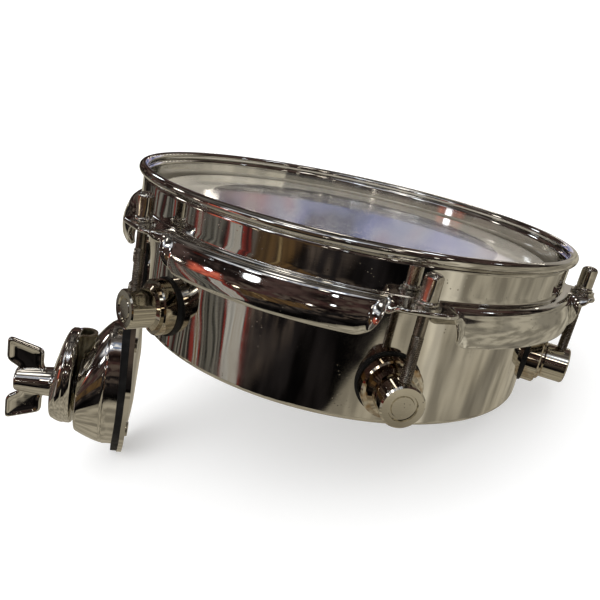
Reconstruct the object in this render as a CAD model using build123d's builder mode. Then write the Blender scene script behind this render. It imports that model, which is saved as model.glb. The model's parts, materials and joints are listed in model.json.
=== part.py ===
from build123d import *
import os
from math import asin, atan2, cos, degrees, hypot, radians, sin

os.makedirs("parts", exist_ok=True)

# A ten inch, three inch deep, single headed chrome drum that lies on its stand bracket.
# Everything is drawn upright about the drum's axis (+Z, shell's lower edge at Z = 0), with the
# bracket on the -X side, and is leaned into its resting pose at the end.

# shell
SHELL_R = 125.0  # outside
SHELL_WALL = 1.5
SHELL_H = 76.0
FOLD_R = 3.0  # outside radius of the folded lower edge
LIP = 5.5  # how far both edges are folded inwards

# lugs
LUGS = 6
LUG_AZIMUTHS = [30 + 360 / LUGS * i for i in range(LUGS)]
LUG_Z = 23.5
GASKET_R = 16.2
GASKET_FACE = SHELL_R + 1.0
BASE_R = 15.2
BASE_FACE = 133.4
COLLAR_R = 12.6
COLLAR_FACE = 134.8
POST_R = 10.6
POST_FACE = 149.0
POST_EDGE = 0.8
LUG_SCREW_R = 3.0
LUG_SCREW_HEX = 5.8
LUG_SCREW_HEAD_T = 4.0
LUG_SCREW_REACH = 8.5  # into the lug, from its gasket
LUG_WASHER_R = 7.0
GROOVE_OUT = 7.0  # round groove in the lug's end face
GROOVE_IN = 5.2
GROOVE_SLOPE = 0.4
GROOVE_DEPTH = 1.0
BUTTON_DIP = 0.3

# fits shared by several pieces
HOLE_GAP = 0.25
WASHER_GAP = 0.2
SEAT_GAP = 0.02
SLIDE_GAP = 0.35
WASHER_T = 1.5

# tension rods
ROD_CIRCLE = 143.5
ROD_R = 2.75
ROD_SHANK_R = 2.6
ROD_FIT = 0.06
ROD_FOOT_Z = 19.5
ROD_THREAD_TOP_Z = 56.5
KEY_W = 6.35  # quarter inch square key head
HEAD_TOP_Z = 85.0
FLANGE_R = 5.0
FLANGE_H = 2.0
WASHER_R = 6.4
WASHER_H = 1.2

# counterhoop
HOOP_T = 2.3
HOOP_WALL_R = 131.05  # middle of the sheet
SHELF_Z = 68.2
SKIRT_R = 137.0
SKIRT_FOOT_R = 135.3
SKIRT_FOOT_Z = 52.5
BEAD_R = 2.6
BEAD_CENTRE_R = 132.5
BEAD_Z = 88.4
EAR_ROOT_R = 133.0
EAR_TIP_R = 150.5
EAR_W = 34.0
EAR_TOP_Z = SHELF_Z + HOOP_T / 2
EAR_HOLE_R = 3.3

# head
FLESH_IN = 127.0
FLESH_OUT = 131.6
FLESH_Z = (61.0, 66.6)
FILM_T = 0.5
FILM_GAP = 0.35

# bracket, from the shell outwards
BRACKET_AZIMUTH = 180
PAD_FACE = SHELL_R + 2.0
PLATE_FACE = 130.0
RUBBER_FACE = 134.0
SKIRT_FACE = 140.0  # where the housing's straight side ends
HOUSING_FACE = 157.5
CAP_FACE = 160.0
CAP_SIDE = 165.0
CAP_END = 173.0
PLATE_TOP_Z = 40.0
RUBBER_FOOT_Z = -109.0
PLATE_FOOT_Z = -107.8
HOUSING_FOOT_Z = -103.5
HOUSING_TOP_Z = -15.5
HOUSING_HALF_W = 28.0
NOSE_R = 22.0
NOSE_Z = -66.5
STUD_Z = -61.5
STUD_Y = -4.0
STUD_R = 4.0
STUD_ROOT = RUBBER_FACE + 4.0
CAP_Z = -57.0
CAP_HALF_H = 32.5
CAP_HALF_W = 27.0
CAP_NOSE_R = 19.0
CAP_NOSE_Z = -64.5
SLEEVE_Y = 13.0
SLEEVE_X = 158.75
SLEEVE_R = 7.5
SLEEVE_TOP_Z = -31.0
SLEEVE_FOOT_Z = -88.5
SLEEVE_SLOT = 0.8
STAND_ROD_R = 4.85  # for a 3/8 inch rod
BOLT_R = 3.0
BOLT_HEAD_R = 5.2
BOLT_HEAD_T = 3.2
BOLT_LENGTH = 16.0
BOLT_WASHER_R = 6.5
NUT_HEX = 5.6
NUT_T = 5.0
BOLT_SPOTS = [(-11.0, 12.0), (11.0, 12.0), (0.0, 31.0)]  # along the shell, up the shell
TIE_SPOTS = [(0.0, -30.5), (0.0, -94.5)]
TIE_HEAD_R = 5.0
TIE_HEAD_T = 2.6
TIE_LENGTH = 14.0
SPRING_R = 6.2
SPRING_WIRE = 1.3
SPRING_POCKET_R = SPRING_R + 0.5
SPRING_POCKET_DEPTH = 5.0

# wing nut
HUB_GAP = 0.3
HUB_END = 197.5
HUB_R = 9.8
HUB_TIP_R = 7.6
WING_SPAN = 29.5
WING_T = 4.5
STUD_END = 195.0

# cutting blocks start well below the bracket and pass right through the drum
UNDER = 130.0
TALL = 230.0
DEEP = 30.0

# resting pose: the gasket's foot and the shell's folded edge both touch the floor
SPAN_X = PLATE_FACE + SHELL_R - FOLD_R
SPAN_Z = FOLD_R - RUBBER_FOOT_Z
LEAN = atan2(SPAN_Z, SPAN_X) - asin(FOLD_R / hypot(SPAN_X, SPAN_Z))

pieces = {}


def keep(builder, name):
    """Name a finished piece and put it on the list to write."""
    builder.part.label = name
    pieces[name] = builder.part


def outward(azimuth, radius=0.0, z=0.0):
    """Plane square to a radius of the drum: its Z points outwards and its Y up the shell."""
    a = radians(azimuth)
    return Plane(
        origin=(radius * cos(a), radius * sin(a), z),
        x_dir=(-sin(a), cos(a), 0),
        z_dir=(cos(a), sin(a), 0),
    )


def sideways(azimuth, z=0.0):
    """Plane through the drum's axis: its X points outwards along a radius and its Y up."""
    a = radians(azimuth)
    return Plane(origin=(0, 0, z), x_dir=(cos(a), sin(a), 0), z_dir=(sin(a), -cos(a), 0))


def radial_axis(azimuth, z):
    a = radians(azimuth)
    return Axis((0, 0, z), (cos(a), sin(a), 0))


# shell: one sheet, folded in at both edges
with BuildPart() as shell:
    middle_r = SHELL_R - SHELL_WALL / 2
    with BuildSketch(Plane.XZ):
        with BuildLine():
            FilletPolyline(
                (middle_r - LIP, SHELL_WALL / 2),
                (middle_r, SHELL_WALL / 2),
                (middle_r, SHELL_H - SHELL_WALL / 2),
                (middle_r - LIP, SHELL_H - SHELL_WALL - LIP * 0.8),
                radius=FOLD_R - SHELL_WALL / 2,
            )
            offset(amount=SHELL_WALL / 2, side=Side.BOTH, kind=Kind.INTERSECTION)
        make_face()
    revolve(axis=Axis.Z)
    for azimuth in LUG_AZIMUTHS:
        with BuildSketch(outward(azimuth, SHELL_R - 10, LUG_Z)):
            Circle(LUG_SCREW_R + HOLE_GAP)
        extrude(amount=DEEP, mode=Mode.SUBTRACT)
    with BuildSketch(outward(BRACKET_AZIMUTH, SHELL_R - 10)):
        with Locations(*BOLT_SPOTS):
            Circle(BOLT_R + HOLE_GAP)
    extrude(amount=DEEP, mode=Mode.SUBTRACT)
keep(shell, "shell")

# lugs: turned posts with a blind tapped hole for the rod and one for the screw
for number, azimuth in enumerate(LUG_AZIMUTHS, 1):
    with BuildPart() as lug:
        with BuildSketch(sideways(azimuth, LUG_Z)):
            with BuildLine():
                Polyline(
                    (GASKET_FACE, 0),
                    (GASKET_FACE, BASE_R),
                    (BASE_FACE - 0.8, BASE_R),
                    (BASE_FACE, BASE_R - 0.8),
                    (BASE_FACE, COLLAR_R),
                    (COLLAR_FACE, COLLAR_R),
                    (COLLAR_FACE + 1.2, POST_R),
                    (POST_FACE - POST_EDGE, POST_R),
                    (POST_FACE, POST_R - POST_EDGE),
                    (POST_FACE, GROOVE_OUT),
                    (POST_FACE - GROOVE_DEPTH, GROOVE_OUT - GROOVE_SLOPE),
                    (POST_FACE - GROOVE_DEPTH, GROOVE_IN + GROOVE_SLOPE),
                    (POST_FACE - BUTTON_DIP, GROOVE_IN),
                    (POST_FACE - BUTTON_DIP, 0),
                    close=True,
                )
            make_face()
        revolve(axis=radial_axis(azimuth, LUG_Z))
        with BuildSketch(outward(azimuth, GASKET_FACE, LUG_Z)):
            Circle(LUG_SCREW_R)
        extrude(amount=LUG_SCREW_REACH + 0.5, mode=Mode.SUBTRACT)
        a = radians(azimuth)
        with BuildSketch(Plane.XY.offset(ROD_FOOT_Z - 1.5)):
            with Locations((ROD_CIRCLE * cos(a), ROD_CIRCLE * sin(a))):
                Circle(ROD_R + ROD_FIT)
        extrude(amount=POST_R * 2, mode=Mode.SUBTRACT)
    keep(lug, f"lug_{number}")

# a rubber ring under each lug, hollowed to the shell's curve
with BuildPart() as lug_gaskets:
    for azimuth in LUG_AZIMUTHS:
        with BuildSketch(outward(azimuth, SHELL_R - 4, LUG_Z)):
            Circle(GASKET_R)
            Circle(LUG_SCREW_R + HOLE_GAP, mode=Mode.SUBTRACT)
        extrude(amount=GASKET_FACE - SHELL_R + 4)
    with BuildSketch(Plane.XY):
        Circle(SHELL_R)
    extrude(amount=SHELL_H, mode=Mode.SUBTRACT)
keep(lug_gaskets, "lug_gaskets")

# screws and flat washers that hold the lugs from inside the shell
inner_r = SHELL_R - SHELL_WALL
washer_seat = (inner_r**2 - LUG_WASHER_R**2) ** 0.5 - SEAT_GAP
with BuildPart() as lug_washers:
    for azimuth in LUG_AZIMUTHS:
        with BuildSketch(outward(azimuth, washer_seat, LUG_Z)):
            Circle(LUG_WASHER_R)
            Circle(LUG_SCREW_R + WASHER_GAP, mode=Mode.SUBTRACT)
        extrude(amount=-WASHER_T)
keep(lug_washers, "lug_washers")

with BuildPart() as lug_screws:
    for azimuth in LUG_AZIMUTHS:
        with BuildSketch(outward(azimuth, washer_seat - WASHER_T, LUG_Z)):
            RegularPolygon(LUG_SCREW_HEX, 6)
        extrude(amount=-LUG_SCREW_HEAD_T)
        with BuildSketch(outward(azimuth, washer_seat - WASHER_T, LUG_Z)):
            Circle(LUG_SCREW_R)
        extrude(amount=GASKET_FACE + LUG_SCREW_REACH - washer_seat + WASHER_T)
keep(lug_screws, "lug_screws")

# counterhoop: rolled bead, upright wall, shelf with six ears, skirt bands between the ears
band_end = degrees(asin(EAR_W * 0.38 / SKIRT_R))
with BuildPart() as counterhoop:
    with BuildSketch(Plane.XZ):
        with BuildLine():
            FilletPolyline(
                (HOOP_WALL_R, BEAD_Z),
                (HOOP_WALL_R, SHELF_Z),
                (EAR_ROOT_R + 0.4, SHELF_Z),
                radius=1.8,
            )
            offset(amount=HOOP_T / 2, side=Side.BOTH, kind=Kind.INTERSECTION)
        make_face()
        with Locations((BEAD_CENTRE_R, BEAD_Z)):
            Circle(BEAD_R)
    revolve(axis=Axis.Z)
    with BuildSketch(Plane.XY.offset(SHELF_Z - HOOP_T / 2)):
        with PolarLocations(0, LUGS, start_angle=LUG_AZIMUTHS[0]):
            with Locations((EAR_TIP_R / 2, 0)):
                RectangleRounded(EAR_TIP_R, EAR_W, 9)
        Circle(EAR_ROOT_R, mode=Mode.SUBTRACT)
        with PolarLocations(ROD_CIRCLE, LUGS, start_angle=LUG_AZIMUTHS[0]):
            Circle(EAR_HOLE_R, mode=Mode.SUBTRACT)
    extrude(amount=HOOP_T)
    for azimuth in LUG_AZIMUTHS:
        with BuildSketch(sideways(azimuth + band_end)):
            with BuildLine():
                FilletPolyline(
                    (EAR_ROOT_R, SHELF_Z),
                    (SKIRT_R, SHELF_Z),
                    (SKIRT_FOOT_R, SKIRT_FOOT_Z),
                    radius=3.2,
                )
                offset(amount=HOOP_T / 2, side=Side.BOTH, kind=Kind.INTERSECTION)
            make_face()
        revolve(axis=Axis.Z, revolution_arc=360 / LUGS - 2 * band_end)
    for azimuth in LUG_AZIMUTHS:
        # the skirt's lower corners are rounded off either side of the ear
        with BuildSketch(outward(azimuth, EAR_ROOT_R - 10)):
            with BuildLine():
                corner = Polyline((-12, SHELF_Z - 2), (12, SHELF_Z - 2))
                ThreePointArc(corner @ 1, (18, SKIRT_FOOT_Z + 5), (28, SKIRT_FOOT_Z - 2))
                Line((28, SKIRT_FOOT_Z - 2), (-28, SKIRT_FOOT_Z - 2))
                ThreePointArc((-28, SKIRT_FOOT_Z - 2), (-18, SKIRT_FOOT_Z + 5), corner @ 0)
            make_face()
        extrude(amount=DEEP, mode=Mode.SUBTRACT)
keep(counterhoop, "counterhoop")

# head: a flat film and its collar, which is bonded into the flesh hoop
film_z = SHELL_H + FILM_GAP + FILM_T
flat_r = SHELL_R - 3
with BuildPart() as drumhead_film:
    with BuildSketch(Plane.XY.offset(film_z - FILM_T)):
        Circle(flat_r)
    extrude(amount=FILM_T)
keep(drumhead_film, "drumhead_film")

with BuildPart() as film_collar:
    collar_r = SHELL_R + 1.0
    with BuildSketch(Plane.XZ):
        with BuildLine():
            Polyline(
                (flat_r, film_z - FILM_T),
                (flat_r, film_z),
                (collar_r, film_z - 3.2),
                (FLESH_IN + 0.6, FLESH_Z[1]),
                (FLESH_IN - 0.1, FLESH_Z[1]),
                (collar_r - 0.6, film_z - 3.5),
                close=True,
            )
        make_face()
    revolve(axis=Axis.Z)
keep(film_collar, "film_collar")

with BuildPart() as flesh_hoop:
    with BuildSketch(Plane.XZ):
        with Locations(((FLESH_IN + FLESH_OUT) / 2, (FLESH_Z[0] + FLESH_Z[1]) / 2)):
            RectangleRounded(FLESH_OUT - FLESH_IN, FLESH_Z[1] - FLESH_Z[0], 1.0)
    revolve(axis=Axis.Z)
keep(flesh_hoop, "flesh_hoop")

# washers under the rod heads
rod_spots = [(ROD_CIRCLE * cos(radians(a)), ROD_CIRCLE * sin(radians(a))) for a in LUG_AZIMUTHS]
with BuildPart() as rod_washers:
    with BuildSketch(Plane.XY.offset(EAR_TOP_Z)):
        with Locations(*rod_spots):
            Circle(WASHER_R)
            Circle(ROD_SHANK_R + 0.5, mode=Mode.SUBTRACT)
    extrude(amount=WASHER_H)
keep(rod_washers, "rod_washers")

# tension rods: threaded foot, plain shank, round flange and square key head
for number, azimuth in enumerate(LUG_AZIMUTHS, 1):
    spot = rod_spots[number - 1]
    flange_z = EAR_TOP_Z + WASHER_H
    with BuildPart() as rod:
        with BuildSketch(Plane.XY.offset(ROD_FOOT_Z)):
            with Locations(spot):
                Circle(ROD_R)
        extrude(amount=ROD_THREAD_TOP_Z - ROD_FOOT_Z)
        chamfer(rod.edges().group_by(Axis.Z)[0], length=0.7)
        with BuildSketch(Plane.XY.offset(ROD_THREAD_TOP_Z)):
            with Locations(spot):
                Circle(ROD_SHANK_R)
        extrude(amount=flange_z - ROD_THREAD_TOP_Z)
        with BuildSketch(Plane.XY.offset(flange_z)):
            with Locations(spot):
                Circle(FLANGE_R)
        extrude(amount=FLANGE_H)
        with BuildSketch(Plane.XY.offset(flange_z + FLANGE_H)):
            with Locations(Location((spot[0], spot[1], 0), (0, 0, azimuth + 35))):
                RectangleRounded(KEY_W + 0.9, KEY_W + 0.9, 1.6)
        extrude(amount=HEAD_TOP_Z - flange_z - FLANGE_H)
        chamfer(rod.faces().sort_by(Axis.Z)[-1].edges(), length=1.2)
    keep(rod, f"tension_rod_{number}")


def band(inner, outer):
    """Sketch the bracket's half of a ring about the drum's axis."""
    Circle(outer)
    Circle(inner, mode=Mode.SUBTRACT)
    with Locations((-outer, 0)):
        Rectangle(outer, outer, mode=Mode.INTERSECT)


housing_z = (HOUSING_TOP_Z + HOUSING_FOOT_Z) / 2
housing_half_h = (HOUSING_TOP_Z - HOUSING_FOOT_Z) / 2


def plate_outline(foot_z, shrink=0.0):
    """Tongue above, wide dish below, all round."""
    with Locations((0, PLATE_TOP_Z - 17)):
        Circle(17 - shrink)
    with Locations((0, housing_z + 10)):
        Circle(31 - shrink)
    with Locations((0, foot_z + 27)):
        Circle(27 - shrink)
    make_hull()


# bracket: rubber pad, drop plate, rubber gasket and housing, one on the other
with BuildPart() as bracket_pad:
    with BuildSketch(Plane.XY.offset(-UNDER)):
        band(SHELL_R, PAD_FACE)
    extrude(amount=TALL)
    with BuildSketch(outward(BRACKET_AZIMUTH, 100)):
        plate_outline(PLATE_FOOT_Z, shrink=0.6)
        with Locations((0, -60)):
            Rectangle(100, 120, mode=Mode.SUBTRACT)
        with Locations(*BOLT_SPOTS):
            Circle(BOLT_R + HOLE_GAP, mode=Mode.SUBTRACT)
    extrude(amount=60, mode=Mode.INTERSECT)
keep(bracket_pad, "bracket_pad")

with BuildPart() as bracket_plate:
    with BuildSketch(Plane.XY.offset(-UNDER)):
        band(PAD_FACE, PLATE_FACE)
    extrude(amount=TALL)
    with BuildSketch(outward(BRACKET_AZIMUTH, 100)):
        plate_outline(PLATE_FOOT_Z)
        with Locations(*BOLT_SPOTS, *TIE_SPOTS):
            Circle(BOLT_R + HOLE_GAP, mode=Mode.SUBTRACT)
    extrude(amount=60, mode=Mode.INTERSECT)
keep(bracket_plate, "bracket_plate")

with BuildPart() as bracket_gasket:
    with BuildSketch(Plane.XY.offset(-UNDER)):
        band(PLATE_FACE, RUBBER_FACE)
    extrude(amount=TALL)
    with BuildSketch(outward(BRACKET_AZIMUTH, 100)):
        with Locations((0, housing_z)):
            Ellipse(HOUSING_HALF_W + 2, housing_half_h + 1.5)
        with Locations((0, RUBBER_FOOT_Z + 18)):
            Circle(18)
        make_hull()
        with Locations(*TIE_SPOTS):
            Circle(BOLT_R + HOLE_GAP, mode=Mode.SUBTRACT)
    extrude(amount=60, mode=Mode.INTERSECT)
keep(bracket_gasket, "bracket_gasket")

with BuildPart() as bracket_housing:
    with BuildSketch(outward(BRACKET_AZIMUTH, RUBBER_FACE - 6)):
        with Locations((0, housing_z)):
            Ellipse(HOUSING_HALF_W, housing_half_h)
    extrude(amount=SKIRT_FACE - RUBBER_FACE + 6)
    with BuildSketch(outward(BRACKET_AZIMUTH, SKIRT_FACE)):
        with Locations((0, housing_z)):
            Ellipse(HOUSING_HALF_W, housing_half_h)
    with BuildSketch(outward(BRACKET_AZIMUTH, HOUSING_FACE)):
        with Locations((0, NOSE_Z)):
            Circle(NOSE_R)
    loft()
    with BuildSketch(Plane.XY.offset(-UNDER)):
        Circle(RUBBER_FACE)
    extrude(amount=TALL, mode=Mode.SUBTRACT)
    # pocket for the sleeve, recess for the spring, hole for the stud and taps for the ties
    with BuildSketch(Plane.XY.offset(-UNDER)):
        with Locations((-SLEEVE_X, SLEEVE_Y)):
            Circle(SLEEVE_R)
    extrude(amount=TALL, mode=Mode.SUBTRACT)
    with BuildSketch(outward(BRACKET_AZIMUTH, HOUSING_FACE)):
        with Locations((-STUD_Y, STUD_Z)):
            Circle(SPRING_POCKET_R)
    extrude(amount=-SPRING_POCKET_DEPTH, mode=Mode.SUBTRACT)
    with BuildSketch(outward(BRACKET_AZIMUTH, STUD_ROOT)):
        with Locations((-STUD_Y, STUD_Z)):
            Circle(STUD_R)
    extrude(amount=DEEP, mode=Mode.SUBTRACT)
    with BuildSketch(outward(BRACKET_AZIMUTH, RUBBER_FACE - 6)):
        with Locations(*TIE_SPOTS):
            Circle(BOLT_R)
    extrude(amount=TIE_LENGTH, mode=Mode.SUBTRACT)
keep(bracket_housing, "bracket_housing")

# bolts through plate, pad and shell, with washers and nuts inside the shell
with BuildPart() as bracket_bolts:
    for spot in BOLT_SPOTS:
        with BuildSketch(outward(BRACKET_AZIMUTH, PLATE_FACE)):
            with Locations(spot):
                Circle(BOLT_HEAD_R)
        extrude(amount=BOLT_HEAD_T)
        with BuildSketch(outward(BRACKET_AZIMUTH, PLATE_FACE)):
            with Locations(spot):
                Circle(BOLT_R)
        extrude(amount=-BOLT_LENGTH)
    chamfer(bracket_bolts.edges().group_by(Axis.X)[0], length=1)
keep(bracket_bolts, "bracket_bolts")

bolt_reach = [abs(across) + BOLT_WASHER_R for across, _ in BOLT_SPOTS]
bolt_seats = [(inner_r**2 - reach**2) ** 0.5 - SEAT_GAP for reach in bolt_reach]
with BuildPart() as bracket_washers:
    for spot, seat in zip(BOLT_SPOTS, bolt_seats):
        with BuildSketch(outward(BRACKET_AZIMUTH, seat)):
            with Locations(spot):
                Circle(BOLT_WASHER_R)
                Circle(BOLT_R + WASHER_GAP, mode=Mode.SUBTRACT)
        extrude(amount=-WASHER_T)
keep(bracket_washers, "bracket_washers")

with BuildPart() as bracket_nuts:
    for spot, seat in zip(BOLT_SPOTS, bolt_seats):
        with BuildSketch(outward(BRACKET_AZIMUTH, seat - WASHER_T)):
            with Locations(spot):
                RegularPolygon(NUT_HEX, 6)
                Circle(BOLT_R, mode=Mode.SUBTRACT)
        extrude(amount=-NUT_T)
keep(bracket_nuts, "bracket_nuts")

# screws from behind the plate into the housing
tie_seat = (PAD_FACE**2 - TIE_HEAD_R**2) ** 0.5 - SEAT_GAP
with BuildPart() as housing_screws:
    with BuildSketch(outward(BRACKET_AZIMUTH, tie_seat)):
        with Locations(*TIE_SPOTS):
            Circle(TIE_HEAD_R)
    extrude(amount=-TIE_HEAD_T)
    with BuildSketch(outward(BRACKET_AZIMUTH, tie_seat)):
        with Locations(*TIE_SPOTS):
            Circle(BOLT_R)
    extrude(amount=TIE_LENGTH)
keep(housing_screws, "housing_screws")

# clamp: a stud in the housing, a slotted sleeve for the stand's rod, a spring and a cap
with BuildPart() as clamp_stud:
    with BuildSketch(outward(BRACKET_AZIMUTH, STUD_ROOT)):
        with Locations((-STUD_Y, STUD_Z)):
            Circle(STUD_R)
    extrude(amount=STUD_END - STUD_ROOT)
    chamfer(clamp_stud.edges().group_by(Axis.X)[0], length=0.9)
keep(clamp_stud, "clamp_stud")

with BuildPart() as clamp_sleeve:
    with BuildSketch(Plane.XY.offset(SLEEVE_FOOT_Z)):
        with Locations((-SLEEVE_X, SLEEVE_Y)):
            Circle(SLEEVE_R - SEAT_GAP / 2)
            Circle(STAND_ROD_R, mode=Mode.SUBTRACT)
        with Locations((-SLEEVE_X + SLEEVE_R, SLEEVE_Y)):
            Rectangle(SLEEVE_R + 3, SLEEVE_SLOT, mode=Mode.SUBTRACT)
    extrude(amount=SLEEVE_TOP_Z - SLEEVE_FOOT_Z)
keep(clamp_sleeve, "clamp_sleeve")

with BuildPart() as clamp_cap:
    with BuildSketch(outward(BRACKET_AZIMUTH, CAP_FACE)):
        with Locations((0, CAP_Z)):
            Ellipse(CAP_HALF_W, CAP_HALF_H)
    extrude(amount=CAP_SIDE - CAP_FACE)
    with BuildSketch(outward(BRACKET_AZIMUTH, CAP_SIDE)):
        with Locations((0, CAP_Z)):
            Ellipse(CAP_HALF_W, CAP_HALF_H)
    with BuildSketch(outward(BRACKET_AZIMUTH, CAP_END)):
        with Locations((0, CAP_NOSE_Z)):
            Circle(CAP_NOSE_R)
    loft()
    with BuildSketch(Plane.XY.offset(-UNDER)):
        with Locations((-SLEEVE_X, SLEEVE_Y)):
            Circle(SLEEVE_R + SLIDE_GAP)
    extrude(amount=TALL, mode=Mode.SUBTRACT)
    with BuildSketch(outward(BRACKET_AZIMUTH, CAP_FACE)):
        with Locations((-STUD_Y, STUD_Z)):
            Circle(SPRING_POCKET_R)
    extrude(amount=SPRING_POCKET_DEPTH, mode=Mode.SUBTRACT)
    with BuildSketch(outward(BRACKET_AZIMUTH, CAP_FACE)):
        with Locations((-STUD_Y, STUD_Z)):
            Circle(STUD_R + SLIDE_GAP)
    extrude(amount=DEEP, mode=Mode.SUBTRACT)
keep(clamp_cap, "clamp_cap")

spring_foot = HOUSING_FACE - SPRING_POCKET_DEPTH + SEAT_GAP
spring_top = CAP_FACE + SPRING_POCKET_DEPTH - SEAT_GAP
with BuildPart() as clamp_spring:
    with BuildSketch(outward(BRACKET_AZIMUTH, spring_foot)):
        with Locations((-STUD_Y, STUD_Z)):
            Circle(SPRING_R)
            Circle(SPRING_R - SPRING_WIRE, mode=Mode.SUBTRACT)
    extrude(amount=spring_top - spring_foot)
keep(clamp_spring, "clamp_spring")

# wing nut: a tapered hub with two raked wings
hub_start = CAP_END + HUB_GAP
with BuildPart() as wing_nut:
    with BuildSketch(outward(BRACKET_AZIMUTH, hub_start)):
        with Locations((-STUD_Y, STUD_Z)):
            Circle(HUB_R)
    extrude(amount=HUB_END - hub_start, taper=degrees(atan2(HUB_R - HUB_TIP_R, HUB_END - hub_start)))
    with BuildSketch(Plane.XZ.offset(-STUD_Y)):
        for side in (1, -1):
            with BuildLine():
                FilletPolyline(
                    (-hub_start - 2, STUD_Z + side * 3),
                    (-hub_start - 5, STUD_Z + side * 11),
                    (-hub_start - 5, STUD_Z + side * (WING_SPAN - 8)),
                    (-HUB_END - 4, STUD_Z + side * WING_SPAN),
                    (-HUB_END - 4, STUD_Z + side * (WING_SPAN - 16)),
                    (-HUB_END + 4, STUD_Z + side * 3),
                    radius=1.5,
                    close=True,
                )
            make_face()
    extrude(amount=WING_T / 2, both=True)
    with BuildSketch(outward(BRACKET_AZIMUTH, hub_start)):
        with Locations((-STUD_Y, STUD_Z)):
            Circle(STUD_R + ROD_FIT)
    extrude(amount=DEEP, mode=Mode.SUBTRACT)
keep(wing_nut, "wing_nut")

# lean every piece, stand the whole on Z = 0 and put its middle over the origin
lean = Location((0, 0, 0), (0, degrees(LEAN), 0))
whole = Compound(children=[part.moved(lean) for part in pieces.values()])
box = whole.bounding_box()
stand = Location((-box.center().X, -box.center().Y, -box.min.Z))
print("lean", degrees(LEAN), "shift", stand.position, "size", box.size)
for name, part in pieces.items():
    part.move(stand * lean)
    export_step(part, f"parts/{name}.step")
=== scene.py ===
import json
import math

import bmesh
import bpy
from mathutils import Matrix, Vector


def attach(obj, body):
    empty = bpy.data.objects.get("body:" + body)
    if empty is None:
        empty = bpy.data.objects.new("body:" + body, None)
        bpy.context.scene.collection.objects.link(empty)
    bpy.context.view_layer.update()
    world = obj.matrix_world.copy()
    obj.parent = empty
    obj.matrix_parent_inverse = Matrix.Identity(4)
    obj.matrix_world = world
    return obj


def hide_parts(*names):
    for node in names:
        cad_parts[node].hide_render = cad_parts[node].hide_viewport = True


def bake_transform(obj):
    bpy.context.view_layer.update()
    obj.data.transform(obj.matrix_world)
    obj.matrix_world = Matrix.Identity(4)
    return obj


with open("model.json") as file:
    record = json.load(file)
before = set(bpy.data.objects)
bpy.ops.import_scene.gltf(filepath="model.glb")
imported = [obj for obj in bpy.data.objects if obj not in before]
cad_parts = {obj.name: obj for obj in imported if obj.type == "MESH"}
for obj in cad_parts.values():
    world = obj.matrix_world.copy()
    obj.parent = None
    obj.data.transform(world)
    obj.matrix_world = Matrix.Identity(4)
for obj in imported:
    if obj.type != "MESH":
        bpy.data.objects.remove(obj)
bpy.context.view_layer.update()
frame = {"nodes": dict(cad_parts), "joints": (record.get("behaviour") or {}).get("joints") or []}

# ---------------------------------------------------------------- sizes, in mm
# The drum's own frame: +Z up its axis, shell's lower edge at Z = 0, bracket on the -X side.
MM = 0.001
LUGS = 6

# counterhoop
HOOP_T = 2.3
HOOP_WALL_R = 131.05  # middle of the sheet
BEAD_R = 2.75
BEAD_CENTRE_R = 132.4
BEAD_Z = 88.3
WALL_TOP = BEAD_Z - 2.4
SHELF_Z = 68.2
SHELF_BEND_R = 134.2
WALL_BEND = 1.8  # radius between wall and shelf
CREST_BEND = 3.6  # radius between shelf and skirt
SKIRT_R = 137.0
SKIRT_LEAN = 84.0  # degrees down from the shelf
SKIRT_REACH = 15.6
SKIRT_BULGE = 1.32
EAR_HALF = 16.5
EAR_REACH = 15.0
EAR_ROUND = 9.0
NOTCH_REACH = 3.2
BEND_FROM = EAR_HALF - 4.5  # along the hoop, where the strip starts to turn down
BEND_TO = EAR_HALF + 5.5
SKIRT_FROM = EAR_HALF - 1.0
SKIRT_FULL = EAR_HALF + 11.0

# head
FILM_TOP = 76.85
FILM_HALF_T = 0.25
FILM_FOLD = 4.0
FILM_FOLD_R = 121.5
DOT_R = 92.0

# tension rods
ROD_CIRCLE = 143.5
ROD_R = 2.75
ROD_SHANK_R = 2.6
ROD_CORE = 2.32
ROD_PITCH = 0.9
ROD_FOOT = 19.5
ROD_TIP = 0.3
THREAD_TOP = 56.5
FLANGE_Z = 70.55
FLANGE_R = 5.0
HEAD_TOP = 85.0
HEAD_DOME = 2.6
KEY_HALF = 3.55
KEY_TURN = 35.0  # degrees from the rod's own radius of the drum

# bracket, from the shell outwards
RUBBER_FACE = 134.0
HOUSING_SIDE = 140.0
HOUSING_FACE = 157.5
HOUSING_Z = -59.5
HOUSING_HALF_H = 44.0
HOUSING_HALF_W = 28.0
HOUSING_NOSE_Z = -67.0
HOUSING_NOSE_HALF_W = 26.0
HOUSING_NOSE_HALF_H = 28.0
HOUSING_BULGE = 0.45  # 0 gives a cone between a casting's side and its face, 1 a full dome
CAP_FACE = 160.0
CAP_SIDE = 165.0
CAP_END = 173.0
CAP_Z = -57.0
CAP_HALF_H = 32.5
CAP_HALF_W = 27.0
CAP_NOSE_Z = -64.5
CAP_NOSE_HALF_W = 23.5
CAP_NOSE_HALF_H = 21.5
CAP_BULGE = 0.95
SLEEVE_X = 158.75
SLEEVE_Y = 13.0
SLEEVE_R = 7.5
STUD_Y = -4.0
STUD_Z = -61.5
STUD_HOLE_R = 4.35
SPRING_R = 6.2
SPRING_WIRE = 1.3
SPRING_TURNS = 5
SPRING_POCKET_R = SPRING_R + 0.5
SPRING_POCKET = 5.0
SLIDE_GAP = 0.35

# wing nut
HUB_START = 173.3
HUB_END = 197.3
HUB_R = 9.7
HUB_TIP_R = 7.6
WING_NEAR = HUB_START + 7.5
WING_FAR = HUB_END + 5.5
WING_SPAN = 29.3
WING_T = 4.6
WING_CORNER = 3.2

# camera, in the drum's frame
EYE = (-102.85, -366.54, 139.64)
AHEAD = (0.20205, 0.92847, -0.31163)
HEAD_UP = (-0.1361, 0.34173, 0.92989)
LENS = 35.32
SENSOR = 36.0

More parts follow.
